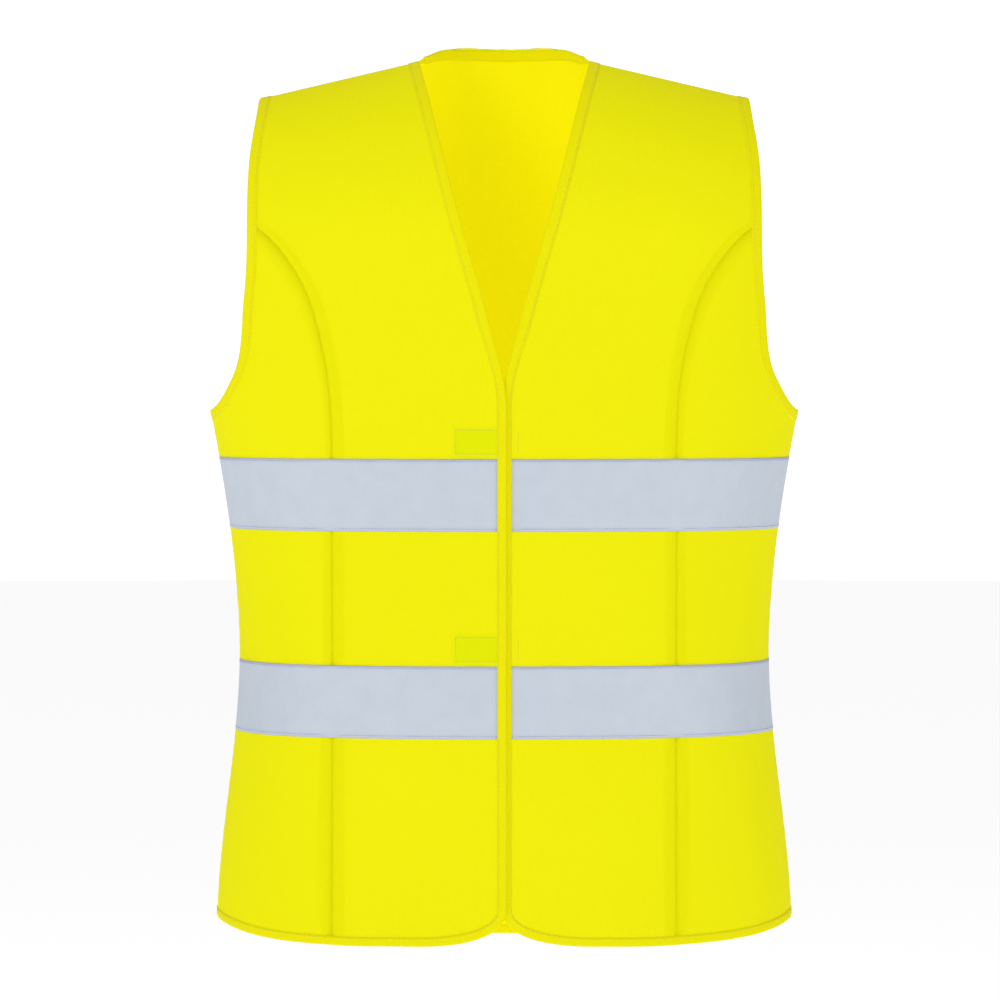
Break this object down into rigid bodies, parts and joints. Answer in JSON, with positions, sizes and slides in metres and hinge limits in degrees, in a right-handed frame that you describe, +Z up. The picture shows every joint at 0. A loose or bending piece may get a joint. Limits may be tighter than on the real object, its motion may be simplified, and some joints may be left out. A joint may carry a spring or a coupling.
{
  "type": "high visibility vest",
  "caption": "Waisted sleeveless high visibility vest with bound edges, reflective tapes and hook and loop front closure.",
  "frame": {"origin": "midway between the two neck points of the shoulders, where the vest hangs on its wearer", "axes": "+Z up, -Y the way the wearer faces, +X the wearer's left"},
  "size_m": [0.419, 0.1903, 0.6405],
  "materials": {
    "yellow_cloth": "matte knitted polyester, fluorescent yellow",
    "yellow_binding": "matte woven edge binding",
    "reflective_tape": "satin silver, finely beaded",
    "loop_fastener": "brushed loop pile",
    "hook_fastener": "moulded hooks on a woven ground",
    "label_satin": "blank satin ribbon"
  },
  "bodies": {
    "root": {"back_centre_panel": "yellow_cloth", "back_side_panel_left": "yellow_cloth", "back_side_panel_right": "yellow_cloth", "front_side_panel_left": "yellow_cloth", "front_side_panel_right": "yellow_cloth", "front_shoulder_panel_left": "yellow_cloth", "front_shoulder_panel_right": "yellow_cloth", "armhole_binding_left": "yellow_binding", "armhole_binding_right": "yellow_binding", "neck_binding": "yellow_binding", "hem_binding": "yellow_binding", "upper_tape_back": "reflective_tape", "upper_tape_side_left": "reflective_tape", "upper_tape_side_right": "reflective_tape", "lower_tape_back": "reflective_tape", "lower_tape_side_left": "reflective_tape", "lower_tape_side_right": "reflective_tape", "care_label": "label_satin"},
    "right_front": {"front_flap_right": "yellow_cloth", "flap_binding_right": "yellow_binding", "upper_tape_flap_right": "reflective_tape", "lower_tape_flap_right": "reflective_tape", "upper_loop_patch": "loop_fastener", "lower_loop_patch": "loop_fastener"},
    "left_front": {"front_flap_left": "yellow_cloth", "flap_binding_left": "yellow_binding", "upper_tape_flap_left": "reflective_tape", "lower_tape_flap_left": "reflective_tape", "upper_hook_tab": "hook_fastener", "lower_hook_tab": "hook_fastener"}
  },
  "joints": [
    {"name": "right_front_open", "type": "hinge", "parent": "root", "child": "right_front", "pos_m": [-0.06993, -0.0944, -0.36], "axis": [-0.1494, 0, -0.9888], "range_deg": [0, 160]},
    {"name": "left_front_open", "type": "hinge", "parent": "root", "child": "left_front", "pos_m": [0.06993, -0.0944, -0.36], "axis": [-0.1494, 0, 0.9888], "range_deg": [0, 160], "deforming": ["upper_hook_tab", "lower_hook_tab"]}
  ]
}
